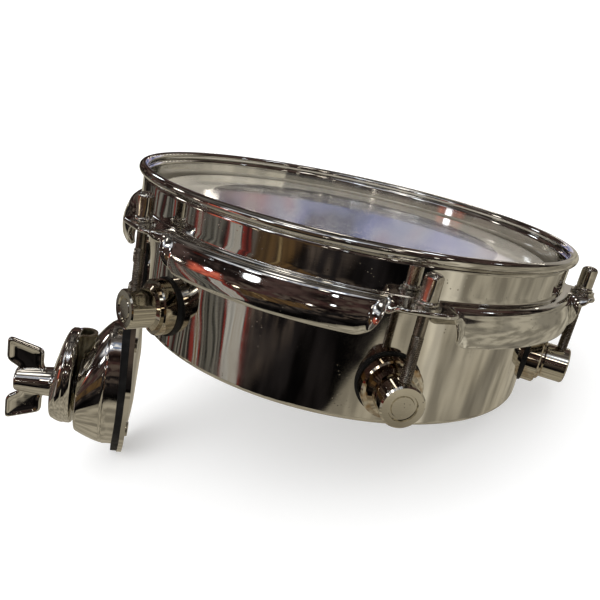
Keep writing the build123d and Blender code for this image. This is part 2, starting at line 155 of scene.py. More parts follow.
# floor and surroundings, in metres
FLOOR_HALF = 6.0
FLOOR_Z = -0.0005
PAPER_LIGHT = 1.2  # brightness of the white surroundings

# ---------------------------------------------------------------- the drum's frame
joints = {j["name"]: j for j in frame["joints"]}
UP = Vector(joints["hoop_lift"]["axis"]).normalized()
ACROSS = Vector((0, 1, 0))
AWAY = ACROSS.cross(UP)
rod_points = [Vector(joints[f"rod_{n}_turn"]["pos_m"]) for n in range(1, LUGS + 1)]
middle = sum(rod_points, Vector()) / LUGS
foot = min((v.co - middle).dot(UP) for v in frame["nodes"]["shell"].data.vertices)
ORIGIN = middle + UP * foot
TURN = Matrix((AWAY, ACROSS, UP)).transposed()
DRUM = Matrix.Translation(ORIGIN) @ (TURN * MM).to_4x4()


def drum_azimuth(point):
    """Azimuth about the drum's axis of a point in the row frame."""
    p = point - ORIGIN
    return math.atan2(p.dot(ACROSS), p.dot(AWAY))


LUG_AZIMUTHS = [drum_azimuth(p) for p in rod_points]


# ---------------------------------------------------------------- mesh helpers
def ring(radius, azimuth, z):
    """A point of the drum's frame, given by radius, azimuth and height."""
    return Vector((radius * math.cos(azimuth), radius * math.sin(azimuth), z))


def turns(count):
    """Equal steps once round, in radians."""
    return [2 * math.pi * k / count for k in range(count)]


def arc(centre, radius, start, end, steps):
    """Points on a circle's arc in a plane, angles in degrees."""
    out = []
    for i in range(steps + 1):
        a = math.radians(start + (end - start) * i / steps)
        out.append((centre[0] + radius * math.cos(a), centre[1] + radius * math.sin(a)))
    return out


def smoothstep(x, low, high):
    t = min(1.0, max(0.0, (x - low) / (high - low)))
    return t * t * (3 - 2 * t)


def quarter(x, low, high):
    """Rises from 0 to 1 as a quarter circle does."""
    t = min(1.0, max(0.0, (x - low) / (high - low)))
    return math.sqrt(1 - (1 - t) ** 2)


def skin(rings, closed_rings=True, loop=False):
    """Points and faces that join equal rings one after the other, with end caps unless they loop."""
    size = len(rings[0])
    points = [p for r in rings for p in r]
    faces = []
    last = len(rings) if loop else len(rings) - 1
    for i in range(last):
        a = i * size
        b = ((i + 1) % len(rings)) * size
        for k in range(size if closed_rings else size - 1):
            n = (k + 1) % size
            faces.append((a + k, a + n, b + n, b + k))
    if not loop:
        faces.append(tuple(reversed(range(size))))
        start = last * size
        faces.append(tuple(range(start, start + size)))
    return points, faces


def joined(*skins):
    """Several skins as one list of points and one of faces."""
    points, faces = [], []
    for more_points, more_faces in skins:
        start = len(points)
        points += more_points
        faces += [tuple(k + start for k in face) for face in more_faces]
    return points, faces


def new_piece(name, points, faces, body):
    """A smooth mesh piece given in the drum's frame in mm, riding on a CAD body if one is named."""
    mesh = bpy.data.meshes.new(name)
    mesh.from_pydata([DRUM @ Vector(p) for p in points], [], faces)
    bm = bmesh.new()
    bm.from_mesh(mesh)
    bmesh.ops.remove_doubles(bm, verts=bm.verts, dist=1e-7)
    bmesh.ops.recalc_face_normals(bm, faces=bm.faces)
    bm.to_mesh(mesh)
    bm.free()
    mesh.polygons.foreach_set("use_smooth", [True] * len(mesh.polygons))
    piece = bpy.data.objects.new(name, mesh)
    bpy.context.scene.collection.objects.link(piece)
    if body:
        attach(piece, body)
    return piece


def add_modifier(piece, kind, **settings):
    made = piece.modifiers.new(kind.title(), kind)
    for key, value in settings.items():
        setattr(made, key, value)
    return made


def dress(obj, material):
    obj.data.materials.clear()
    obj.data.materials.append(material)


# ---------------------------------------------------------------- shader helpers
class Nodes:
    """Short calls that add and link shader nodes in one tree."""

    def __init__(self, tree):
        self.tree = tree

    def link(self, value, socket):
        if isinstance(value, bpy.types.NodeSocket):
            self.tree.links.new(value, socket)
        else:
            socket.default_value = value

    def add(self, kind, inputs=None, **settings):
        node = self.tree.nodes.new(kind)
        for key, value in settings.items():
            setattr(node, key, value)
        for key, value in (inputs or {}).items():
            self.link(value, node.inputs[key])
        return node

    def math(self, kind, a, b=0.0):
        return self.add("ShaderNodeMath", {0: a, 1: b}, operation=kind).outputs[0]

    def vector(self, kind, a, b):
        return self.add("ShaderNodeVectorMath", {0: a, 1: b}, operation=kind).outputs[0]

    def dot(self, a, b):
        return self.add("ShaderNodeVectorMath", {0: a, 1: b}, operation="DOT_PRODUCT").outputs["Value"]

    def scaled(self, a, amount):
        return self.add("ShaderNodeVectorMath", {0: a, "Scale": amount}, operation="SCALE").outputs[0]

    def mix(self, share, a, b):
        return self.add("ShaderNodeMix", {0: share, 6: a, 7: b}, data_type="RGBA").outputs[2]

    def span(self, value, low, high, to_low=0.0, to_high=1.0, smooth=False):
        """Maps low..high onto to_low..to_high and stays level outside."""
        kind = "SMOOTHSTEP" if smooth else "LINEAR"
        inputs = {0: value, 1: low, 2: high, 3: to_low, 4: to_high}
        return self.add("ShaderNodeMapRange", inputs, interpolation_type=kind).outputs[0]


class Look(Nodes):
    """A material's nodes, with places in the drum's own frame."""

    def __init__(self, name):
        self.material = bpy.data.materials.new(name)
        self.material.use_nodes = True
        super().__init__(self.material.node_tree)
        self.shader = self.tree.nodes["Principled BSDF"]
        self.place = self.add("ShaderNodeTexCoord").outputs["Object"]

    def noise(self, scale, detail=3.0, roughness=0.5, at=None):
        inputs = {"Vector": at or self.place, "Scale": scale, "Detail": detail, "Roughness": roughness}
        return self.add("ShaderNodeTexNoise", inputs).outputs["Fac"]

    def spots(self, scale, low, high):
        """1 in small round spots and 0 elsewhere."""
        inputs = {"Vector": self.place, "Scale": scale}
        cells = self.add("ShaderNodeTexVoronoi", inputs).outputs["Distance"]
        return self.span(cells, low, high, 1.0, 0.0, smooth=True)

    def drum_place(self):
        """Position in the drum's frame, in metres."""
        moved = self.vector("SUBTRACT", self.place, ORIGIN)
        parts = [self.dot(moved, axis) for axis in (AWAY, ACROSS, UP)]
        return self.add("ShaderNodeCombineXYZ", dict(enumerate(parts))).outputs[0]

    def drum_radius(self):
        """Distance from the drum's axis, in metres."""
        flat = self.vector("MULTIPLY", self.drum_place(), (1, 1, 0))
        return self.add("ShaderNodeVectorMath", {0: flat}, operation="LENGTH").outputs["Value"]

    def drum_part(self, axis):
        """One coordinate of the drum's frame: 0 away from the bracket, 1 across, 2 up."""
        return self.add("ShaderNodeSeparateXYZ", {0: self.drum_place()}).outputs[axis]

    def stretched(self, scale):
        """Coordinates of the drum's frame, scaled apart along each axis, for streaks and brushing."""
        return self.vector("MULTIPLY", self.drum_place(), scale)

    def bump(self, height, strength, distance, normal=None):
        inputs = {"Height": height, "Strength": strength, "Distance": distance}
        if normal is not None:
            inputs["Normal"] = normal
        return self.add("ShaderNodeBump", inputs).outputs[0]

    def done(self, **values):
        """Set the shader's sockets and hand over the material."""
        for key, value in values.items():
            self.link(value, self.shader.inputs[key.replace("_", " ")])
        return self.material


# ---------------------------------------------------------------- materials
def chrome(name, bright, dull, pitting=0.0, tint=None, wobble=0.25):
    """Mirror plating with a slow change of tone, hairline scratches, specks and some waviness."""
    n = Look(name)
    tone = n.mix(n.span(n.noise(22.0, 4.0), 0.35, 0.7), bright, dull)
    specks = n.spots(420.0, 0.05, 0.16)
    sparse = n.span(n.noise(60.0, 2.0), 0.56 - 0.1 * pitting, 0.66)
    marks = n.math("MULTIPLY", specks, sparse)
    tone = n.mix(marks, tone, (0.16, 0.13, 0.10, 1))
    if tint is not None:
        tone = n.mix(tint(n), tone, (0.30, 0.17, 0.06, 1))
    hairs = n.noise(1.0, 2.0, at=n.stretched((90.0, 90.0, 2600.0)))
    smudge = n.span(n.noise(38.0, 5.0, 0.6), 0.45, 0.75, 0.035, 0.13)
    rough = n.math("ADD", smudge, n.math("MULTIPLY", marks, 0.3))
    normal = n.bump(n.noise(24.0, 2.0), wobble, 0.0007)
    normal = n.bump(hairs, 0.05, 0.00006, normal)
    normal = n.bump(marks, 0.35, 0.0002, normal)
    return n.done(Base_Color=tone, Metallic=1.0, Roughness=rough, Normal=normal)


def lug_stain(n):
    """Brown where the plating has worn near each lug's foot, strongest in front."""
    near_foot = n.span(n.drum_radius(), 0.1335, 0.1395, 1.0, 0.0, smooth=True)
    in_front = n.span(n.drum_part(1), -0.145, -0.05, 0.95, 0.25)
    cloud = n.span(n.noise(150.0, 4.0, 0.6), 0.38, 0.62)
    return n.math("MULTIPLY", n.math("MULTIPLY", near_foot, in_front), cloud)


def steel(name, colour, dark, rough):
    """Plated steel or dull brass with turning lines and dark residue."""
    n = Look(name)
    dirt = n.span(n.noise(240.0, 4.0, 0.6), 0.45, 0.68)
    tone = n.mix(dirt, colour, dark)
    lines = n.noise(1.0, 2.0, at=n.stretched((200.0, 200.0, 3000.0)))
    roughness = n.span(n.noise(90.0, 4.0), 0.3, 0.7, rough - 0.08, rough + 0.14)
    normal = n.bump(lines, 0.15, 0.0001)
    return n.done(Base_Color=tone, Metallic=1.0, Roughness=roughness, Normal=normal)


def rod_steel():
    """Bright plated head and flange; the shank and the thread are darker, with old oil."""
    n = Look("rod_steel")
    head = n.span(n.drum_part(2), (FLANGE_Z - 0.6) * MM, (FLANGE_Z + 0.4) * MM, smooth=True)
    grime = n.span(n.noise(170.0, 4.0), 0.46, 0.66)
    shank = n.mix(grime, (0.30, 0.27, 0.23, 1), (0.15, 0.125, 0.10, 1))
    top = n.mix(n.math("MULTIPLY", grime, 0.6), (0.60, 0.57, 0.52, 1), (0.34, 0.30, 0.25, 1))
    worn = n.span(n.noise(90.0, 4.0), 0.3, 0.7, 0.20, 0.32)
    roughness = n.math("SUBTRACT", worn, n.math("MULTIPLY", head, 0.13))
    normal = n.bump(n.noise(260.0, 3.0), 0.10, 0.0002)
    return n.done(Base_Color=n.mix(head, shank, top), Metallic=1.0, Roughness=roughness, Normal=normal)


def rubber():
    """Black moulded rubber, dusty, with a fine grain."""
    n = Look("black_rubber")
    dust = n.span(n.noise(70.0, 5.0, 0.6), 0.45, 0.75)
    tone = n.mix(dust, (0.004, 0.004, 0.004, 1), (0.014, 0.013, 0.012, 1))
    roughness = n.span(n.noise(300.0, 3.0), 0.3, 0.7, 0.38, 0.62)
    normal = n.bump(n.noise(1400.0, 3.0), 0.25, 0.0002)
    return n.done(Base_Color=tone, Roughness=roughness, Normal=normal, Specular_IOR_Level=0.22)


def drum_film():
    """Glossy polyester film: pale at the rim, a grey brushed dot in the middle and fine play marks."""
    n = Look("polyester_film")
    ragged = n.math("ADD", n.drum_radius(), n.span(n.noise(60.0, 3.0), 0.3, 0.7, -0.0006, 0.0006))
    dot = n.span(ragged, DOT_R * MM - 0.0012, DOT_R * MM + 0.0012, 1.0, 0.0, smooth=True)
    brushed = n.noise(1.0, 4.0, 0.6, at=n.stretched((55.0, 480.0, 55.0)))
    cloud = n.span(n.noise(26.0, 5.0, 0.55), 0.35, 0.65)
    rim_tone = n.mix(cloud, (0.60, 0.56, 0.48, 1), (0.48, 0.45, 0.38, 1))
    dot_tone = n.mix(n.span(brushed, 0.35, 0.65), (0.15, 0.145, 0.14, 1), (0.34, 0.33, 0.32, 1))
    tone = n.mix(dot, rim_tone, dot_tone)
    marks = n.math("MULTIPLY", n.span(n.noise(150.0, 5.0, 0.65), 0.52, 0.75), dot)
    tone = n.mix(n.math("MULTIPLY", marks, 0.5), tone, (0.62, 0.61, 0.58, 1))
    roughness = n.math("ADD", n.math("MULTIPLY", dot, 0.12), n.span(brushed, 0.3, 0.7, 0.05, 0.14))
    metal = n.math("MULTIPLY", dot, 0.55)
    normal = n.bump(brushed, n.span(dot, 0, 1, 0.05, 0.4), 0.0002)
    normal = n.bump(n.noise(14.0, 2.0), 0.12, 0.001, normal)
    return n.done(
        Base_Color=tone, Metallic=metal, Roughness=roughness, Normal=normal,
        Coat_Weight=0.6, Coat_Roughness=0.06, Specular_IOR_Level=0.6,
    )


def floor_paper():
    """Pale seamless paper that lets some light through from below."""
    n = Look("pale_paper")
    tone = n.mix(n.noise(3.0, 3.0), (0.72, 0.72, 0.72, 1), (0.76, 0.76, 0.76, 1))
    normal = n.bump(n.noise(900.0, 2.0), 0.05, 0.0002)
    return n.done(Base_Color=tone, Roughness=0.7, Normal=normal, Emission_Color=tone, Emission_Strength=0.5)


SHELL_CHROME = chrome("shell_chrome", (0.70, 0.68, 0.64, 1), (0.60, 0.57, 0.51, 1), wobble=0.18)
HOOP_CHROME = chrome("hoop_chrome", (0.72, 0.71, 0.68, 1), (0.58, 0.56, 0.52, 1), pitting=1.0, wobble=0.2)
LUG_CHROME = chrome("lug_chrome", (0.68, 0.65, 0.58, 1), (0.50, 0.46, 0.38, 1), pitting=0.5, tint=lug_stain)
BRACKET_CHROME = chrome("bracket_chrome", (0.68, 0.66, 0.62, 1), (0.60, 0.57, 0.52, 1), wobble=0.12)
ROD_STEEL = rod_steel()
ZINC = steel("zinc_plate", (0.62, 0.60, 0.55, 1), (0.38, 0.34, 0.28, 1), rough=0.20)
SPRING_STEEL = steel("spring_steel", (0.36, 0.35, 0.34, 1), (0.12, 0.11, 0.10, 1), rough=0.26)
BRASS = steel("dull_brass", (0.52, 0.48, 0.35, 1), (0.33, 0.28, 0.17, 1), rough=0.30)
RUBBER = rubber()
FILM = drum_film()

NODE_LOOKS = {
    "shell": SHELL_CHROME,
    "flesh_hoop": HOOP_CHROME,
    "lug_gaskets": RUBBER,
    "bracket_pad": RUBBER,
    "bracket_gasket": RUBBER,
    "bracket_plate": BRACKET_CHROME,
    "clamp_sleeve": BRASS,
}
ZINC_NODES = (
    "rod_washers", "clamp_stud", "lug_screws", "lug_washers",
    "bracket_bolts", "bracket_washers", "bracket_nuts", "housing_screws",
)
NODE_LOOKS.update({name: ZINC for name in ZINC_NODES})
NODE_LOOKS.update({f"lug_{n}": LUG_CHROME for n in range(1, LUGS + 1)})

for node_name, node in frame["nodes"].items():
    dress(node, NODE_LOOKS.get(node_name, BRACKET_CHROME))


# ---------------------------------------------------------------- counterhoop
def ear_distance(azimuth):
    """Distance along the hoop from the middle of the nearest ear, in mm."""
    gaps = [abs((azimuth - a + math.pi) % (2 * math.pi) - math.pi) for a in LUG_AZIMUTHS]
    return min(gaps) * SKIRT_R


def strip_shape(distance):
    """How far the hoop's outer strip is bent down, in radians, and how far it reaches, in mm."""
    bend = math.radians(SKIRT_LEAN) * smoothstep(distance, BEND_FROM, BEND_TO)
    if distance < EAR_HALF - 0.5:
        rounding = quarter(EAR_HALF - distance, 0, EAR_ROUND)
        return bend, NOTCH_REACH + (EAR_REACH - NOTCH_REACH) * rounding
    rounding = quarter(distance, SKIRT_FROM, SKIRT_FULL)
    return bend, NOTCH_REACH + (SKIRT_REACH - NOTCH_REACH) * rounding


def sheet_line(bend, reach):
    """Middle line of the hoop's sheet from the wall's top to the strip's edge, as (r, z)."""
    wall_steps, crest_steps, strip_steps = 6, 8, 10
    wall = WALL_TOP - SHELF_Z - WALL_BEND
    line = [(HOOP_WALL_R, WALL_TOP - i * wall / wall_steps) for i in range(wall_steps)]
    line += arc((HOOP_WALL_R + WALL_BEND, SHELF_Z + WALL_BEND), WALL_BEND, 180, 270, wall_steps)
    line.append((SHELF_BEND_R, SHELF_Z))
    flat = bend <= 1e-4
    for i in range(1, crest_steps + 1):
        t = bend * i / crest_steps
        out = 0.02 * i if flat else CREST_BEND * math.sin(t)
        drop = 0.0 if flat else CREST_BEND * (1 - math.cos(t))
        line.append((SHELF_BEND_R + out, SHELF_Z - drop))
    r, z = line[-1]
    left = max(reach - 0.35 * CREST_BEND * bend, 1.2)
    bulge = SKIRT_BULGE * smoothstep(math.degrees(bend), 30, 80)
    for i in range(1, strip_steps + 1):
        t = i / strip_steps
        out = bulge * math.sin(math.pi * t * 0.92)
        along = left * t
        line.append((
            r + along * math.cos(bend) + out * math.sin(bend),
            z - along * math.sin(bend) + out * math.cos(bend),
        ))
    return line


def offset_loop(line, thickness):
    """Closed outline of a sheet about its middle line, with a rounded free edge."""
    normals = []
    for i, _ in enumerate(line):
        a, b = line[max(i - 1, 0)], line[min(i + 1, len(line) - 1)]
        d = Vector((b[0] - a[0], b[1] - a[1]))
        d.normalize()
        normals.append(Vector((-d.y, d.x)))
    half = thickness / 2
    top = [(p[0] + n.x * half, p[1] + n.y * half) for p, n in zip(line, normals)]
    under = [(p[0] - n.x * half, p[1] - n.y * half) for p, n in zip(line, normals)]
    end, n = line[-1], normals[-1]
    d = Vector((n.y, -n.x))
    cap = []
    for i in range(1, 6):
        t = math.pi * i / 6
        v = n * math.cos(t) * half + d * math.sin(t) * half * 0.8
        cap.append((end[0] + v.x, end[1] + v.y))
    return top + cap + under[::-1]


def build_hoop():
    """Pressed sheet swept round the drum: wall, shelf and a strip that is flat ear or turned-down skirt."""
    rings, bead = [], []
    bead_line = arc((BEAD_CENTRE_R, BEAD_Z), BEAD_R, 0, 345, 23)
    for azimuth in turns(1080):
        bend, reach = strip_shape(ear_distance(azimuth))
        loop = offset_loop(sheet_line(bend, reach), HOOP_T)
        rings.append([ring(r, azimuth, z) for r, z in loop])
        bead.append([ring(r, azimuth, z) for r, z in bead_line])
    points, faces = joined(skin(rings, loop=True), skin(bead, loop=True))
    hoop = new_piece("counterhoop_pressed", points, faces, "hoop")
    dress(hoop, HOOP_CHROME)
    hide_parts("counterhoop")


# ---------------------------------------------------------------- head
def build_head():
    """The film in one sheet: flat, then turned down over the shell's edge into the flesh hoop."""
    z = FILM_TOP - FILM_HALF_T
    line = [(r, z) for r in (0, 20, 40, 60, 80, 95, 105, 112, 117)]
    line += arc((FILM_FOLD_R, z - FILM_FOLD), FILM_FOLD, 90, 30, 8)
    line += [(126.0, FILM_TOP - 4.4), (126.9, 70.5), (127.4, 66.6)]
    sheet = [(r, z + FILM_HALF_T) for r, z in line]
    sheet += [(max(r - 0.2, 0), z - FILM_HALF_T) for r, z in reversed(line)]
    rings = [[ring(r, azimuth, z) for r, z in sheet] for azimuth in turns(180)]
    points, faces = skin(rings, closed_rings=False, loop=True)
    film = new_piece("head_film", points, faces, "hoop")
    dress(film, FILM)
    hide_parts("drumhead_film", "film_collar")


# ---------------------------------------------------------------- tension rods
def rod_radius(z, turn):
    """Radius of the rod below its flange, at a height and an angle about its axis."""
    if z >= THREAD_TOP:
        return ROD_SHANK_R
    fade = smoothstep(z, ROD_FOOT, ROD_FOOT + 1.5) * (1 - smoothstep(z, THREAD_TOP - 1.2, THREAD_TOP))
    phase = (z / ROD_PITCH - turn / (2 * math.pi)) % 1.0
    ridge = 1 - abs(2 * phase - 1)
    crest = min(1.0, ridge * 1.5)
    return ROD_CORE + (ROD_R - ROD_CORE) * crest * (0.25 + 0.75 * fade)


def superellipse(t, half, power):
    """Radius at an angle of a square with generous corners."""
    return half / (abs(math.cos(t)) ** power + abs(math.sin(t)) ** power) ** (1 / power)


def build_rod(number):
    """Threaded foot, plain shank, round flange and a square key head with a domed top."""
    azimuth = LUG_AZIMUTHS[number - 1]
    centre = ring(ROD_CIRCLE, azimuth, 0)
    key_turn = azimuth + math.radians(KEY_TURN)
    rings = []

    def add_ring(z, radius):
        """A ring about the rod's axis; the radius is a function of the angle."""
        rings.append([centre + ring(radius(t), t, z) for t in turns(32)])

    def add_round(z, radius):
        add_ring(z, lambda t: radius)

    def add_key(z, half, power):
        add_ring(z, lambda t: superellipse(t - key_turn, half, power))

    add_round(ROD_FOOT, ROD_CORE - 0.6)
    count = int((THREAD_TOP - ROD_FOOT) / (ROD_PITCH / 6))
    for i in range(count + 1):
        z = ROD_FOOT + ROD_TIP + (THREAD_TOP - ROD_FOOT - ROD_TIP) * i / count
        add_ring(z, lambda t: rod_radius(z, t))
    add_round(THREAD_TOP + 0.2, ROD_SHANK_R)
    add_round(FLANGE_Z - 0.02, ROD_SHANK_R)
    for inset, z in ((0.35, 0.0), (0, 0.35), (0, 1.45), (0.4, 1.95), (0.9, 2.1)):
        add_round(FLANGE_Z + z, FLANGE_R - inset)

    neck = FLANGE_Z + 2.15
    dome = HEAD_TOP - HEAD_DOME
    add_key(neck, 3.75, 2.6)
    add_key(neck + 0.9, KEY_HALF, 5.0)
    add_key(dome, KEY_HALF, 5.0)
    dome_steps = 7
    for i in range(1, dome_steps):
        a = math.pi / 2 * i / dome_steps
        half = KEY_HALF * (0.35 + 0.65 * math.cos(a))
        add_key(dome + 2.5 * math.sin(a), half, 5.0 - 2.4 * i / dome_steps)
    points, faces = skin(rings)
    rod = new_piece(f"threaded_rod_{number}", points, faces, f"rod_{number}")
    rod.data.set_sharp_from_angle(angle=math.radians(50))
    dress(rod, ROD_STEEL)
    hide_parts(f"tension_rod_{number}")


# ---------------------------------------------------------------- bracket castings
def oval(shape, x):
    """A ring of (half width, half height, middle z), square to the bracket at a distance from the axis."""
    half_w, half_h, middle_z = shape
    return [Vector((-x, half_w * math.cos(t), middle_z + half_h * math.sin(t))) for t in turns(96)]


def grown(shape, by):
    return shape[0] + by, shape[1] + by, shape[2]


def dome_rings(base, nose, start, depth, bulge, steps):
    """Ovals that pass from a base to a nose along a bulging flank."""
    rings = []
    for i in range(1, steps + 1):
        t = i / steps
        share = t + bulge * (t * t - t)
        shape = [a + (b - a) * share for a, b in zip(base, nose)]
        rings.append(oval(shape, start + depth * t))
    return rings


def sleeve_bar(radius):
    """A bar along the stand rod's sleeve, well past the castings at both ends."""
    return Vector((-SLEEVE_X, SLEEVE_Y, -120)), Vector((-SLEEVE_X, SLEEVE_Y, 20)), radius


def stud_bar(start, end, radius):
    return Vector((-start, STUD_Y, STUD_Z)), Vector((-end, STUD_Y, STUD_Z)), radius


def cut_with_bars(piece, cutters):
    """Take away round bars, given as (start, end, radius), from a piece at rest."""
    bars = []
    for start, end, radius in cutters:
        axis = (end - start).normalized()
        side = axis.orthogonal().normalized()
        other = axis.cross(side)
        rings = [[centre + (side * math.cos(t) + other * math.sin(t)) * radius for t in turns(48)]
                 for centre in (start, end)]
        points, faces = skin(rings)
        mesh = bpy.data.meshes.new("bar")
        mesh.from_pydata([DRUM @ p for p in points], [], faces)
        bar = bpy.data.objects.new("bar", mesh)
        bpy.context.scene.collection.objects.link(bar)
        bars.append(bar)
        add_modifier(piece, "BOOLEAN", operation="DIFFERENCE", solver="EXACT", object=bar)
    bpy.context.view_layer.update()
    evaluated = piece.evaluated_get(bpy.context.evaluated_depsgraph_get())
    made = bpy.data.meshes.new_from_object(evaluated)
    piece.modifiers.clear()
    piece.data = made
    for bar in bars:
        bpy.data.objects.remove(bar)
    made.polygons.foreach_set("use_smooth", [True] * len(made.polygons))
    made.set_sharp_from_angle(angle=math.radians(35))


def build_housing():
    """Lower half of the clamp: a straight side, a fine ridge line and a flank that narrows to a face."""
    base = (HOUSING_HALF_W, HOUSING_HALF_H, HOUSING_Z)
    nose = (HOUSING_NOSE_HALF_W, HOUSING_NOSE_HALF_H, HOUSING_NOSE_Z)
    back = [Vector((-(RUBBER_FACE**2 - p.y**2) ** 0.5, p.y, p.z)) for p in oval(base, RUBBER_FACE)]
    rings = [back, oval(base, RUBBER_FACE + 2.2)]
    for swell, x in ((0.15, -0.8), (0.1, -0.3), (-0.35, 0.1)):
        rings.append(oval(grown(base, swell), HOUSING_SIDE + x))
    depth = HOUSING_FACE - 1.4 - HOUSING_SIDE
    rings += dome_rings(base, nose, HOUSING_SIDE, depth, HOUSING_BULGE, 18)
    for inset, x in ((0.35, 0.75), (0.9, 0.25), (1.8, 0.0)):
        rings.append(oval(grown(nose, -inset), HOUSING_FACE - x))
    points, faces = skin(rings)
    housing = new_piece("bracket_housing_cast", points, faces, "drum")
    cut_with_bars(housing, [
        sleeve_bar(SLEEVE_R),
        stud_bar(HOUSING_FACE + 3, HOUSING_FACE - SPRING_POCKET, SPRING_POCKET_R),
    ])
    dress(housing, BRACKET_CHROME)
    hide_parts("bracket_housing")


def build_cap():
    """Upper half of the clamp: a rounded oval button."""
    base = (CAP_HALF_W, CAP_HALF_H, CAP_Z)
    nose = (CAP_NOSE_HALF_W, CAP_NOSE_HALF_H, CAP_NOSE_Z)
    rings = [oval(grown(base, -inset), CAP_FACE + x) for inset, x in ((1.4, 0.0), (0.5, 0.35), (0.05, 1.2))]
    rings.append(oval(base, CAP_SIDE - 1.5))
    rings.append(oval(grown(base, -0.25), CAP_SIDE))
    rings += dome_rings(base, nose, CAP_SIDE, CAP_END - 0.7 - CAP_SIDE, CAP_BULGE, 16)
    for inset, x in ((0.6, 0.25), (2.0, 0.0)):
        rings.append(oval(grown(nose, -inset), CAP_END - x))
    points, faces = skin(rings)
    cap = new_piece("clamp_cap_cast", points, faces, "cap")
    cut_with_bars(cap, [
        sleeve_bar(SLEEVE_R + SLIDE_GAP),
        stud_bar(CAP_FACE - 3, CAP_FACE + SPRING_POCKET, SPRING_POCKET_R),
        stud_bar(CAP_FACE, CAP_END + 3, STUD_HOLE_R),
    ])
    dress(cap, BRACKET_CHROME)
    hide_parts("clamp_cap")


# ---------------------------------------------------------------- spring
def build_spring():
    """Coil spring round the stud, between two pockets."""
    low = HOUSING_FACE - SPRING_POCKET + 0.1
    high = CAP_FACE + SPRING_POCKET - 0.1
    per_turn = 40
    mean_r = SPRING_R - SPRING_WIRE / 2
    wire = SPRING_WIRE / 2
    along = Vector((1, 0, 0))
    rings = []
    count = SPRING_TURNS * per_turn
    rise = (high - low - SPRING_WIRE) / count
    for i in range(count + 1):
        a = 2 * math.pi * i / per_turn
        outwards = Vector((0, math.cos(a), math.sin(a)))
        centre = Vector((-(low + wire + rise * i), STUD_Y, STUD_Z)) + outwards * mean_r
        rings.append([centre + (outwards * math.cos(t) + along * math.sin(t)) * wire for t in turns(12)])
    points, faces = skin(rings)
    spring = new_piece("clamp_spring_coil", points, faces, None)
    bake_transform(spring)
    dress(spring, SPRING_STEEL)
    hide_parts("clamp_spring")


# ---------------------------------------------------------------- wing nut
def rounded(corners, radius, steps=6):
    """Closed outline through the corners, each rounded off by a curve."""
    out = []
    for i, corner in enumerate(corners):
        here = Vector(corner)
        before = Vector(corners[i - 1]) - here
        after = Vector(corners[(i + 1) % len(corners)]) - here
        cut = min(radius, before.length * 0.48, after.length * 0.48)
        a, b = here + before.normalized() * cut, here + after.normalized() * cut
        for k in range(steps + 1):
            t = k / steps
            out.append(a * (1 - t) ** 2 + here * 2 * t * (1 - t) + b * t**2)
    return out


def hub_skin():
    """Tapered hub with eased ends, turned about the stud."""
    profile = [(HUB_R - 0.5, HUB_START), (HUB_R, HUB_START + 0.5), (HUB_R - 0.15, HUB_START + 3)]
    for t in (0.25, 0.5, 0.75, 1.0):
        profile.append((HUB_R + (HUB_TIP_R - HUB_R) * t, HUB_START + 3 + (HUB_END - HUB_START - 4) * t))
    profile += [(HUB_TIP_R - 0.5, HUB_END - 0.3), (HUB_TIP_R - 1.3, HUB_END)]
    return skin([
        [Vector((-x, STUD_Y + r * math.cos(t), STUD_Z + r * math.sin(t))) for t in turns(64)]
        for r, x in profile
    ])


def wing_skin(side):
    """One wing, above (1) or below (-1) the hub, with dished faces and a thick round rim."""
    outline = rounded([
        (HUB_START + 2.2, 2), (WING_NEAR, 11), (WING_NEAR, WING_SPAN - 7), (WING_FAR, WING_SPAN),
        (WING_FAR, 13.5), (HUB_END - 2.5, 8.5), (HUB_END - 4.5, 2),
    ], WING_CORNER)
    centre = Vector(((WING_NEAR + WING_FAR) / 2 - 1, WING_SPAN / 2 + 1.5))
    # share of the way from the wing's middle to its rim, and share of half the thickness there
    face = [(0.05, 0.52), (0.45, 0.54), (0.66, 0.62), (0.78, 0.80), (0.86, 0.97), (0.92, 1.0), (0.97, 0.82)]
    section = face + [(1.0, 0.42), (1.0, -0.42)] + [(share, -depth) for share, depth in reversed(face)]
    rings = []
    for share, depth in section:
        flat = [centre + (p - centre) * share for p in outline]
        y = STUD_Y + depth * WING_T / 2
        rings.append([Vector((-q.x, y, STUD_Z + side * q.y)) for q in flat])
    return skin(rings)


def build_wing_nut():
    """Die-cast nut: a tapered hub and two broad, thick, raked wings, melted together."""
    points, faces = joined(hub_skin(), wing_skin(1), wing_skin(-1))
    nut = new_piece("wing_nut_cast", points, faces, "wing")
    add_modifier(nut, "REMESH", mode="VOXEL", voxel_size=0.00045, use_smooth_shade=True)
    add_modifier(nut, "SMOOTH", factor=0.6, iterations=8)
    dress(nut, BRACKET_CHROME)
    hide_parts("wing_nut")


